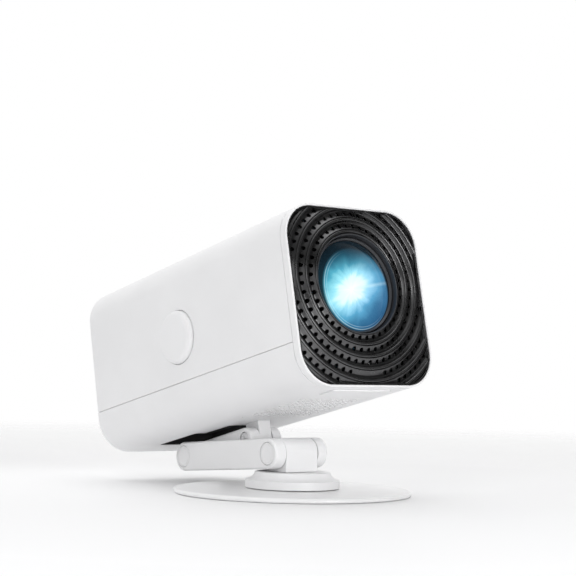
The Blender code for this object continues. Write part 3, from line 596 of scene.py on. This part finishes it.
def cross(name, centre, depth, outside, matrix, axis, half=2.4, narrow=0.42):
    """A cross recess to cut into a screw head."""
    pieces = []
    low, high = min(depth, outside), max(depth, outside)
    for number, size in enumerate(((half, narrow), (narrow, half))):
        outline = rounded_rectangle(size[0], size[1], 0.2, 3, centre)
        pieces.append(cutter(name + str(number), outline, low, high, axis, matrix))
    return pieces


def build_upper_arm():
    def outline(inset):
        return [(-y, z) for y, z in capsule(REACH, REAR_RADIUS - inset, FRONT_RADIUS - inset)]
    arm = solid("tilt_arm", outline, rounded_levels(-UPPER_HALF_WIDTH, UPPER_HALF_WIDTH, 1.2, 5), "X",
                UPPER)
    slot_half, slot_end, past = LUG_HALF_WIDTH + GAP, 8.8 - REACH, 12.0
    slot = [(-REACH - past, -past), (slot_end, -past), (slot_end, past), (-REACH - past, past)]
    half, seat, recess, tip = UPPER_HALF_WIDTH, UPPER_HALF_WIDTH - 2.3, 4.7, (-REACH, 0)
    carve(arm,
          bore("rear_bore", PIN + GAP, (0, 0), -THROUGH, THROUGH, "X", UPPER),
          bore("tilt_bore", TILT_BORE, tip, -THROUGH, THROUGH, "X", UPPER),
          cutter("lug_slot", slot, -slot_half, slot_half, "X", UPPER),
          bore("head_recess", recess, tip, -half - 1, -seat, "X", UPPER, 48),
          bore("nut_recess", recess, tip, seat, half + 1, "X", UPPER, 48))
    finish(arm, STAND, "upper_arm", "white_stand", "upper_arm", bevel=0.25, angle=30)
    outside = -UPPER_HALF_WIDTH + 0.1
    dome = [(0, outside), (2.6, outside + 0.05), (3.6, outside + 0.2), (4.2, outside + 0.55),
            (4.4, outside + 0.9), (4.4, outside + 1.9), (2.0, outside + 1.9)]
    screw = turned("tilt_screw", dome + [(2.0, 11.2), (1.7, 11.5), (0, 11.5)], "X", (0, -REACH, 0), UPPER,
                   48)
    carve(screw, *cross("cross", tip, outside - 1, outside + 0.9, UPPER, "X"))
    finish(screw, WHITE_SCREW, "upper_arm", "steel", "hinge_c_screw")
    nut = solid("tilt_nut", lambda inset: arc(tip, 4.3 - inset, 0, 300, 5),
                rounded_levels(10.1, 11.9, 0.25, 2), "X", UPPER)
    carve(nut, bore("nut_bore", TILT_BORE, tip, 9, 13, "X", UPPER))
    finish(nut, STEEL, "upper_arm", "steel", "hinge_c_nut")


def build_lug():
    centre = box_in("hinge_c_screw", HOUSING)
    back, drop = (centre[0].y + centre[1].y) / 2, (centre[0].z + centre[1].z) / 2
    length, inner = 6.6, BOTTOM + WALL + GAP
    top = inner + 1.0

    def outline(inset):
        half = length - inset
        return arc((back, drop), half, 180, 360, 28) + [(back + half, top), (back - half, top)]
    lug = solid("tilt_lug", outline, rounded_levels(-LUG_HALF_WIDTH, LUG_HALF_WIDTH, 0.5), "X", HOUSING)
    low, high = box_in("mount_lug", HOUSING)
    flange = block("lug_flange", (low.x, low.y, inner), high, HOUSING, 0.3, "Z", 2.0)
    carve(lug, flange, operation="UNION")
    cuts = [bore("lug_bore", TILT_BORE, (back, drop), -20, 20, "X", HOUSING)]
    for side in (-1, 1):
        cuts.append(bore("flange_bore", 3.5, (side * 12, 100.5), BOTTOM, BOTTOM + 12, "Z", HOUSING))
    carve(lug, *cuts)
    finish(lug, WHITE, "head", "white_shell", "mount_lug")


# ---------------------------------------------------------------- housing

POCKET_WALL = 1.2
GRILLE_CENTRE = (0, 64)
UNDER_CUT = (-70, -45, "Z", HOUSING)      # from below the housing to inside its floor
REAR_CUT = (210, 218, "Y", HOUSING)       # through the rear cover
SOCKET_CUT = (205, 218, "Y", HOUSING)     # into a socket, short of its back wall
PANEL_CUT = (-5, 10, "Y", HOUSING)        # through the front panel
SCREW_PLACES = [(side * 39.6, level * 43.3) for side in (-1, 1) for level in (-1, 1)]
BUTTON_LOW, BUTTON_HIGH = box_in("button_spring", HOUSING)
BUTTON_BACK = (BUTTON_LOW.y + BUTTON_HIGH.y) / 2
BUTTON_RISE = (BUTTON_LOW.z + BUTTON_HIGH.z) / 2
BUTTON_RADIUS = 16.5
BUTTON_ROUND = 3.4


def pocket_outline(grow):
    """The T-shaped hollow that takes the folded stand, with softened corners."""
    wide, narrow = 20.5 + grow, 13.2 + grow
    stem, shoulder, back = 122.0 - grow, 149.0 - grow, 190.0 + grow
    r, out = 1.6, 1.6 + grow
    right = arc((narrow - out, stem + out), out, 270, 360, 4)
    right += arc((narrow + r, shoulder - r), r, 180, 90, 4)
    right += arc((wide - out, shoulder + out), out, 270, 360, 4)
    right += arc((wide - out, back - out), out, 0, 90, 4)
    return right + [(-x, y) for x, y in reversed(right)]


def half_shell(name, keep_above):
    """One of the two shells: the outline on one side of the seam, thickened, with rounded ends."""
    wall = rounded_wall(WALL, BEZEL_DEPTH + GAP, BODY_END, 0.5)
    sign = 1 if keep_above else -1
    edge = SEAM + sign * GAP / 2
    outlines = [body_outline(inset) for inset, level in wall]
    levels = [level for inset, level in wall]
    first = [Vector((sign * (HALF_WIDTH - inset), level, edge)) for inset, level in wall]
    last = [Vector((-point.x, point.y, point.z)) for point in first]
    between = []
    for i, point in enumerate(outlines[0]):
        if (point[1] > SEAM) == keep_above:
            between.append([Vector((outline[i][0], level, outline[i][1]))
                            for outline, level in zip(outlines, levels)])
    return loft(name, [first] + between + [last], HOUSING)


def build_shells():
    upper = half_shell("upper_housing_shell", True)
    middle = (BUTTON_BACK, BUTTON_RISE)
    carve(upper, bore("button_opening", BUTTON_RADIUS + 0.35, middle, -60, -40, "X", HOUSING, 96))
    finish(upper, WHITE, "head", "white_shell", "upper_shell", bevel=0.3, angle=30)
    lower = half_shell("lower_housing_shell", False)
    foot = rounded_rectangle(22.3, 7.05, 2.0, 5, (0, 15.25))
    carve(lower,
          cutter("grille_opening", rounded_rectangle(26, 30, 3, 6, GRILLE_CENTRE), *UNDER_CUT),
          cutter("lug_opening", rounded_rectangle(5.0, 6.9, 0.6, 3, (0, 111.0)), *UNDER_CUT),
          cutter("pocket_opening", pocket_outline(POCKET_WALL + GAP), *UNDER_CUT),
          cutter("foot_recess", foot, -70, BOTTOM + 0.6, "Z", HOUSING))
    finish(lower, WHITE, "head", "white_shell", "lower_shell", bevel=0.2, angle=30)
    bezel = solid("front_rim", body_outline, bezel_profile(), "Y", HOUSING, joined=True)
    finish(bezel, WHITE, "head", "white_shell", "front_bezel", angle=50)


def bezel_profile():
    """Closed (inset, level) loop of the front rim: a soft outer edge, a flat face, a small inner round."""
    outer, inner, back_edge = 0.6, 0.25, 0.3
    loop = arc((back_edge, BEZEL_DEPTH - back_edge), back_edge, 90, 180, 3)
    loop += arc((outer, outer), outer, 180, 270, 6)
    loop += arc((BEZEL_WALL - inner, inner), inner, 270, 360, 4)
    return loop + [(BEZEL_WALL, BEZEL_DEPTH)]


# the front panel: rings of beads, each with a lit facet outside it and a row of holes at the facet's foot
RIDGE_FIRST, RIDGE_PITCH, RIDGES = 30.2, 7.25, 6
HOLE_OFFSET, HOLE_RADIUS, HOLE_SPACING = 3.35, 1.3, 5.3
PANEL_BACK = 3.8
PANEL_INNER = 28.0
RIDGE_RISE = 9.0              # the rings' centre, a little above the lens
LENS_OPENING = 30.6


def panel_profile():
    """Closed (radius, level) loop, from the outer edge in to inside the lens opening."""
    points = [(73.0, PANEL_BACK), (73.0, 2.4)]
    for number in range(RIDGES - 1, -1, -1):
        bead = RIDGE_FIRST + number * RIDGE_PITCH
        points += [(bead + 6.2, 1.1), (bead + 5.5, 2.2), (bead + 5.2, 2.4), (bead + 3.9, 2.5),
                   (bead + 3.4, 2.4), (bead + 1.45, 0.85), (bead + 1.25, 0.82), (bead + 1.1, 1.2),
                   (bead + 0.9, 1.2)]
        points += arc((bead, 1.05), 0.75, 0, -180, 8)
    return points + [(PANEL_INNER, 1.1), (PANEL_INNER, PANEL_BACK)]


def hole_places():
    """Rows of evenly spaced holes, left out where the panel ends and at one gap in the fourth row."""
    margin = BEZEL_WALL + GAP + 2.2
    wide, tall, corner = HALF_WIDTH - margin, HALF_HEIGHT - margin, CORNER - margin
    places = []
    for row in range(RIDGES - 1):
        radius = RIDGE_FIRST + HOLE_OFFSET + row * RIDGE_PITCH
        count = round(2 * math.pi * radius / HOLE_SPACING)
        for number in range(count):
            angle = 2 * math.pi * (number + 0.5) / count
            x, z = radius * math.sin(angle), RIDGE_RISE - radius * math.cos(angle)
            past_x, past_z = max(abs(x) - wide + corner, 0.0), max(abs(z) - tall + corner, 0.0)
            inside = math.hypot(past_x, past_z) < corner
            plain = row == 3 and abs(x) < 8.0
            if inside and not plain:
                places.append((x, z))
    return places


def build_panel():
    panel = turned("ringed_front_panel", panel_profile(), "Y", (0, 0, RIDGE_RISE), HOUSING, 240, ring=True)
    holes = []
    for number, (x, z) in enumerate(hole_places()):
        holes.append(bore("hole_%d" % number, HOLE_RADIUS, (x, z), -1.0, 6.0, "Y", HOUSING, 14))
    inset = BEZEL_WALL + GAP
    carve(panel, cutter("panel_blank", body_outline(inset), *PANEL_CUT), operation="INTERSECT")
    rim_loop = [(inset, PANEL_BACK), (inset, 0.6), (inset + 0.15, 0.45), (inset + 0.8, 0.45),
                (inset + 1.0, 0.7), (inset + 1.3, PANEL_BACK)]
    carve(panel, solid("panel_rim", body_outline, rim_loop, "Y", HOUSING, joined=True), operation="UNION")
    carve(panel, merged("holes", holes))
    carve(panel, bore("lens_opening", LENS_OPENING, (0, LENS_RISE), *PANEL_CUT, 120))
    finish(panel, PANEL, "head", "black_grille", "front_grille", angle=38)


def build_rear():
    low, high = box_in("rear_cover", HOUSING)
    inset = WALL + GAP
    cover = solid("vented_rear_cover", lambda more: body_outline(inset + more),
                  rounded_levels(low.y, high.y, 0.4, 3), "Y", HOUSING)
    cuts = []
    for row in range(11):
        level = -20.0 + row * 4.6
        for side in (-1, 1):
            slot = rounded_rectangle(15.0, 1.1, 1.05, 4, (side * 20, level))
            cuts.append(cutter("vent", slot, *REAR_CUT))
    for left, right in ((-34.1, -17.9), (-10.1, 5.1), (12.6, 20.6), (24.3, 34.3)):
        opening = rounded_rectangle((right - left) / 2, 3.6, 0.6, 3, ((left + right) / 2, -38.3))
        cuts.append(cutter("opening", opening, *REAR_CUT))
    cuts.append(cutter("ir_opening", rounded_rectangle(7.3, 3.3, 1.5, 5, (0, 38.0)), *REAR_CUT))
    for x, z in SCREW_PLACES:
        cuts.append(bore("screw_bore", 1.8, (x, z), *REAR_CUT))
    carve(cover, merged("cover_cuts", cuts))
    finish(cover, WHITE, "head", "white_shell", "rear_cover", angle=30)
    for number, (x, z) in enumerate(SCREW_PLACES):
        profile = [(0, 216.6), (2.0, 216.55), (2.7, 216.3), (3.1, 215.95), (3.1, 215.6), (1.5, 215.6),
                   (1.5, 204.2), (1.2, 203.6), (0, 203.6)]
        screw = turned("cover_screw_%d" % (number + 1), profile, "Y", (x, 0, z), HOUSING, 40)
        carve(screw, *cross("cross", (x, z), 215.8, 218.0, HOUSING, "Y", 1.7, 0.32))
        finish(screw, STEEL, "head", "steel", "rear_screw_%d" % (number + 1))
    window = block("infrared_window", (-7, 213.1, 35), (7, 215.2, 41), HOUSING, 0.35, "Y", 1.3)
    finish(window, SMOKED, "head", "black_inner", "ir_window")


SLOT_DEPTH = 0.9              # down to the pale mesh moulded behind the slots


def build_underside():
    low, high = box_in("speaker_grille", HOUSING)

    def plate_outline(inset):
        return rounded_rectangle(25.7 - inset, 29.7 - inset, 2.7 - inset, 6, GRILLE_CENTRE)
    plate = solid("slotted_speaker_grille", plate_outline, rounded_levels(low.z, high.z, 0.25, 2), "Z",
                  HOUSING)
    slots = []
    lean = math.radians(38)
    flat = rounded_rectangle(1.9, 0.6, 0.58, 4)
    outline = [(x * math.cos(lean) - y * math.sin(lean), x * math.sin(lean) + y * math.cos(lean))
               for x, y in flat]
    for row in range(10):
        shift = 1.9 if row % 2 else 0.0
        split = 2.6 if row > 4 else 0.0
        for column in range(12):
            x, y = -22.6 + column * 3.8 + shift, 38.2 + row * 5.1 + split
            slot = [(x + a, y + b) for a, b in outline]
            slots.append(cutter("slot", slot, low.z - 1, low.z + SLOT_DEPTH, "Z", HOUSING))
    carve(plate, merged("slots", slots))
    finish(plate, WHITE, "head", "white_shell", "speaker_grille")
    low, high = box_in("stand_pocket", HOUSING)
    # painted shade: the tray is black inner plastic so that the pocket above the folded stand is as dark as
    # its shadow
    tray = cutter("painted_shade_recess_tray", pocket_outline(POCKET_WALL), low.z, high.z, "Z", HOUSING)
    carve(tray, cutter("tray_hollow", pocket_outline(0.0), -70, high.z - POCKET_WALL, "Z", HOUSING))
    finish(tray, DARK, "head", "black_inner", "stand_pocket", bevel=0.2)
    low, high = box_in("front_foot", HOUSING)
    bumper = block("front_bumper", low, high, HOUSING, 0.35, "Z", 2.2)
    finish(bumper, WHITE, "head", "white_shell", "front_foot")


# ---------------------------------------------------------------- lens

GLASS_SAG = 3.4               # rise of the front glass over its rim


def spherical(radius, rim, apex, steps):
    """(radius, level) points over a spherical face, from its rim to its apex."""
    sag = abs(rim - apex)
    curve = (radius ** 2 + sag ** 2) / (2 * sag)
    spread = math.asin(radius / curve)
    side = 1 if apex > rim else -1
    points = []
    for i in range(steps + 1):
        angle = spread * (1 - i / steps)
        points.append((curve * math.sin(angle), apex - side * (curve - curve * math.cos(angle))))
    return points


def build_lens():
    axis = (0, 0, LENS_RISE)
    low, high = box_in("lens_hood", HOUSING)
    edge = (high.x - low.x) / 2
    bead = arc((edge - 0.4, low.y + 0.4), 0.4, 0, -180, 6)
    hood = turned("lens_hood_ring", [(edge, high.y)] + bead + [(edge - 1.1, 3.2), (edge - 1.3, high.y)],
                  "Y", axis, HOUSING, ring=True)
    finish(hood, HOOD, "head", "black_inner", "lens_hood")
    low, high = box_in("lens_barrel", HOUSING)
    glass_low, glass_high = box_in("front_lens", HOUSING)
    edge = -low.x
    wall, bite = edge - 1.3, edge - 4.0
    seat, rear_seat, step = glass_high.y + GAP, 36.4, 1.6
    rim = arc((edge - 0.4, low.y + 0.4), 0.4, 0, -110, 5)
    inside = [(wall, low.y + 1.2), (wall, seat), (bite, seat), (bite, seat + step), (wall, seat + step),
              (wall, rear_seat), (bite, rear_seat), (bite, rear_seat + step), (wall, rear_seat + step),
              (wall, high.y)]
    barrel = turned("focusing_barrel", [(edge, high.y)] + rim + inside, "Y", axis, HOUSING, ring=True)
    screw_low, screw_high = box_in("focus_screw", HOUSING)
    x, z = (screw_low.x + screw_high.x) / 2, (screw_low.z + screw_high.z) / 2
    reach = math.hypot(x, z - LENS_RISE)
    away = math.atan2(z - LENS_RISE, x)
    tab = block("focus_tab", (wall + 0.5, 13.5, -4), (reach + 4, 16.5, 4), WORLD, 0.3, "Y")
    tab.matrix_world = HOUSING @ Matrix.Translation(Vector(axis) * MM) @ Matrix.Rotation(-away, 4, "Y")
    carve(barrel, tab, operation="UNION")
    carve(barrel, bore("tab_bore", 1.7, (x, z), 5, 20, "Y", HOUSING))
    finish(barrel, HOOD, "focus", "black_inner", "lens_barrel")
    radius = (glass_high.x - glass_low.x) / 2
    face = spherical(radius, glass_low.y + GLASS_SAG, glass_low.y, 28)
    back = [(0, glass_high.y), (radius - 0.3, glass_high.y), (radius, glass_high.y - 0.3)]
    glass = turned("front_glass", back + face, "Y", axis, HOUSING)
    finish(glass, GLOWING_GLASS, "focus", "lens_glass", "front_lens", angle=50)


# ---------------------------------------------------------------- button and sockets

def build_button():
    face = box_in("side_button", HOUSING)[0].x
    edge = arc((BUTTON_RADIUS - BUTTON_ROUND, face + BUTTON_ROUND), BUTTON_ROUND, 0, -86, 10)
    spring_seat = [(4.6, -46.3), (4.6, -47.4), (6.0, -47.4), (6.0, -46.3)]
    profile = [(0, -44.8), (2.4, -44.8), (2.4, -46.3)] + spring_seat
    profile += [(18.3, -46.3), (18.3, -47.3), (BUTTON_RADIUS, -47.3)]
    button = turned("round_side_button", profile + edge + [(6.0, face + 0.02), (0, face)], "X",
                    (0, BUTTON_BACK, BUTTON_RISE), HOUSING)
    finish(button, WHITE, "power_button", "white_shell", "side_button")


def build_connector(node, left, right):
    """A plug's metal shell with its mouth, tongue and gold contacts."""
    low, high = box_in(node, HOUSING)
    shell = block(node + "_shell", low, high, HOUSING, 0.25, "Y", 0.7)
    middle, rise = (left + right) / 2, (low.z + high.z) / 2
    wide, tall = (right - left) / 2, (high.z - low.z) / 2 - 0.7
    if node == "hdmi_socket":
        mouth = [(-wide, tall), (-wide, -0.4), (-wide + 1.6, -tall), (wide - 1.6, -tall), (wide, -0.4),
                 (wide, tall)]
        mouth = [(middle + x, rise + z) for x, z in mouth]
        lift, count = 0.0, 9
    else:
        mouth = rounded_rectangle(wide, tall, 0.3, 2, (middle, rise))
        lift, count = 0.9, 4
    carve(shell, cutter("mouth", mouth, *SOCKET_CUT))
    finish(shell, STEEL, "head", "steel", node, bevel=0.12)
    half, level = wide - 1.6, rise + lift
    tongue = block(node + "_tongue", (middle - half, 204.8, level - 0.55),
                   (middle + half, 213.6, level + 0.55), HOUSING, 0.15, "Y")
    finish(tongue, DARK, "head", "black_inner")
    for number in range(count):
        x = middle + (number - (count - 1) / 2) * 2 * (half - 0.8) / count
        contact = block("%s_contact_%d" % (node, number + 1), (x - 0.3, 206.0, level - 0.68),
                        (x + 0.3, 213.0, level - 0.5), HOUSING, 0.06, "Z")
        finish(contact, GOLD, "head", "steel")


def build_sockets():
    build_connector("hdmi_socket", -33.1, -18.9)
    build_connector("usb_socket", -9.0, 4.0)
    low, high = box_in("audio_jack", HOUSING)
    jack = block("audio_jack_body", low, high, HOUSING, 0.3, "Y", 0.9)
    carve(jack, bore("audio_bore", 1.8, ((low.x + high.x) / 2, (low.z + high.z) / 2), *SOCKET_CUT))
    finish(jack, DARK, "head", "black_inner", "audio_jack", bevel=0.12)
    low, high = box_in("dc_inlet", HOUSING)
    inlet = block("power_inlet_body", low, high, HOUSING, 0.3, "Y", 0.9)
    ring = turned("inlet_ring", [(0.9, 219), (2.8, 219), (2.8, 205), (0.9, 205)], "Y",
                  ((low.x + high.x) / 2, 0, (low.z + high.z) / 2), HOUSING, 48, ring=True)
    carve(inlet, ring)
    finish(inlet, DARK, "head", "black_inner", "dc_inlet", bevel=0.1)


# ---------------------------------------------------------------- carried-over CAD nodes

# surfaces of the CAD nodes that stay as they are
INNER = {
    "swivel_washer": DARK, "swivel_screw": STEEL, "hinge_a_pin": STEEL, "hinge_b_pin": STEEL,
    "lens_holder": DARK, "light_engine": DARK, "fresnel_front": OPTIC, "fresnel_rear": OPTIC,
    "condenser_lens": OPTIC, "rear_lens": OPTIC, "lcd_panel": SCREEN, "led_module": LAMP,
    "heat_sink": ALUMINIUM, "fan_frame": DARK, "fan_impeller": DARK, "main_board": BOARD,
    "led_driver_board": BOARD, "driver_coil": COPPER, "speaker": DARK, "button_switch": DARK,
    "button_board": BOARD, "button_spring": STEEL, "focus_motor": STEEL, "focus_screw": STEEL,
    "lug_screw_left": STEEL, "lug_screw_right": STEEL,
}


def paint_inner_nodes():
    for name, surface in INNER.items():
        materials = NODES[name].data.materials
        if not materials:
            materials.append(surface)
        for number in range(len(materials)):
            materials[number] = surface


# ---------------------------------------------------------------- stage, light and camera

WORLD_FRONT, WORLD_BACK = 0.03, 1.0       # strength of the backdrop in front and behind
LIT_POINT = (0.0, 0.03, 0.1)
LAMPS = (("left_softbox", (-1.0, -0.78, 0.66), 0.45, 3.2),
         ("top_softbox", (0.1, 0.2, 1.5), 1.2, 7.5),
         ("front_softbox", (-0.05, -1.5, 0.20), 0.6, 12.5))
FOCAL_LENGTH, SENSOR_WIDTH = 99.8, 36.0
CAMERA_PLACE = (-0.60059, -0.7630, 0.0786)
CAMERA_TURNS = (-37.91, 2.71, 1.16)       # aim, climb and roll in degrees


def floor_surface(name, colour):
    """A pale matt floor that fades into the backdrop away from the object."""
    g = Graph(name)
    g.link(g.two_tone(g.noise(3, 2), shade(colour, 0.985), colour), "Base Color")
    g.set(Roughness=0.6)
    far = g.add("VectorMath", {0: g.place}, operation="LENGTH").outputs["Value"]
    g.link(g.spread(far, 1.0, 0.0, 0.35, 1.1), "Alpha")
    return g.material


def build_stage():
    shape = bmesh.new()
    bmesh.ops.create_grid(shape, x_segments=1, y_segments=1, size=12.0)
    mesh = bpy.data.meshes.new("floor")
    shape.to_mesh(mesh)
    shape.free()
    floor = bpy.data.objects.new("floor", mesh)
    bpy.context.scene.collection.objects.link(floor)
    mesh.materials.append(floor_surface("pale_floor", (0.93, 0.93, 0.935)))


def area_light(name, place, size, power):
    data = bpy.data.lights.new(name, "AREA")
    data.shape = "RECTANGLE"
    data.size, data.size_y = size, size
    data.energy = power
    lamp = bpy.data.objects.new(name, data)
    bpy.context.scene.collection.objects.link(lamp)
    lamp.location = place
    lamp.rotation_euler = (Vector(LIT_POINT) - Vector(place)).to_track_quat("-Z", "Y").to_euler()


def build_light():
    world = bpy.data.worlds.new("studio")
    world.use_nodes = True
    bpy.context.scene.world = world
    tree = world.node_tree
    shader = tree.nodes["Background"]
    shader.inputs["Color"].default_value = (1.0, 1.0, 1.0, 1.0)
    place = tree.nodes.new("ShaderNodeTexCoord")
    split = tree.nodes.new("ShaderNodeSeparateXYZ")
    ramp = tree.nodes.new("ShaderNodeMapRange")
    tree.links.new(place.outputs["Generated"], split.inputs[0])
    tree.links.new(split.outputs["Y"], ramp.inputs["Value"])
    ramp.inputs["From Min"].default_value = -0.55
    ramp.inputs["From Max"].default_value = 0.25
    ramp.inputs["To Min"].default_value = WORLD_FRONT
    ramp.inputs["To Max"].default_value = WORLD_BACK
    tree.links.new(ramp.outputs[0], shader.inputs["Strength"])
    for lamp in LAMPS:
        area_light(*lamp)


def build_camera():
    data = bpy.data.cameras.new("camera")
    data.lens = FOCAL_LENGTH
    data.sensor_width = SENSOR_WIDTH
    data.clip_start, data.clip_end = 0.01, 50.0
    camera = bpy.data.objects.new("camera", data)
    bpy.context.scene.collection.objects.link(camera)
    aim, climb, roll = (math.radians(turn) for turn in CAMERA_TURNS)
    forward = Vector((-math.sin(aim) * math.cos(climb), math.cos(aim) * math.cos(climb), math.sin(climb)))
    right = forward.cross(Vector((0, 0, 1))).normalized()
    up = right.cross(forward)
    turned_right = right * math.cos(roll) + up * math.sin(roll)
    turned_up = up * math.cos(roll) - right * math.sin(roll)
    made = Matrix((turned_right, turned_up, -forward)).transposed().to_4x4()
    made.translation = Vector(CAMERA_PLACE)
    camera.matrix_world = made
    bpy.context.scene.camera = camera
    bpy.context.scene.view_settings.view_transform = "Standard"


build_base()
build_pedestal()
build_lower_arm()
build_upper_arm()
build_lug()
build_shells()
build_panel()
build_rear()
build_underside()
build_lens()
build_button()
build_sockets()
paint_inner_nodes()
build_stage()
build_light()
build_camera()
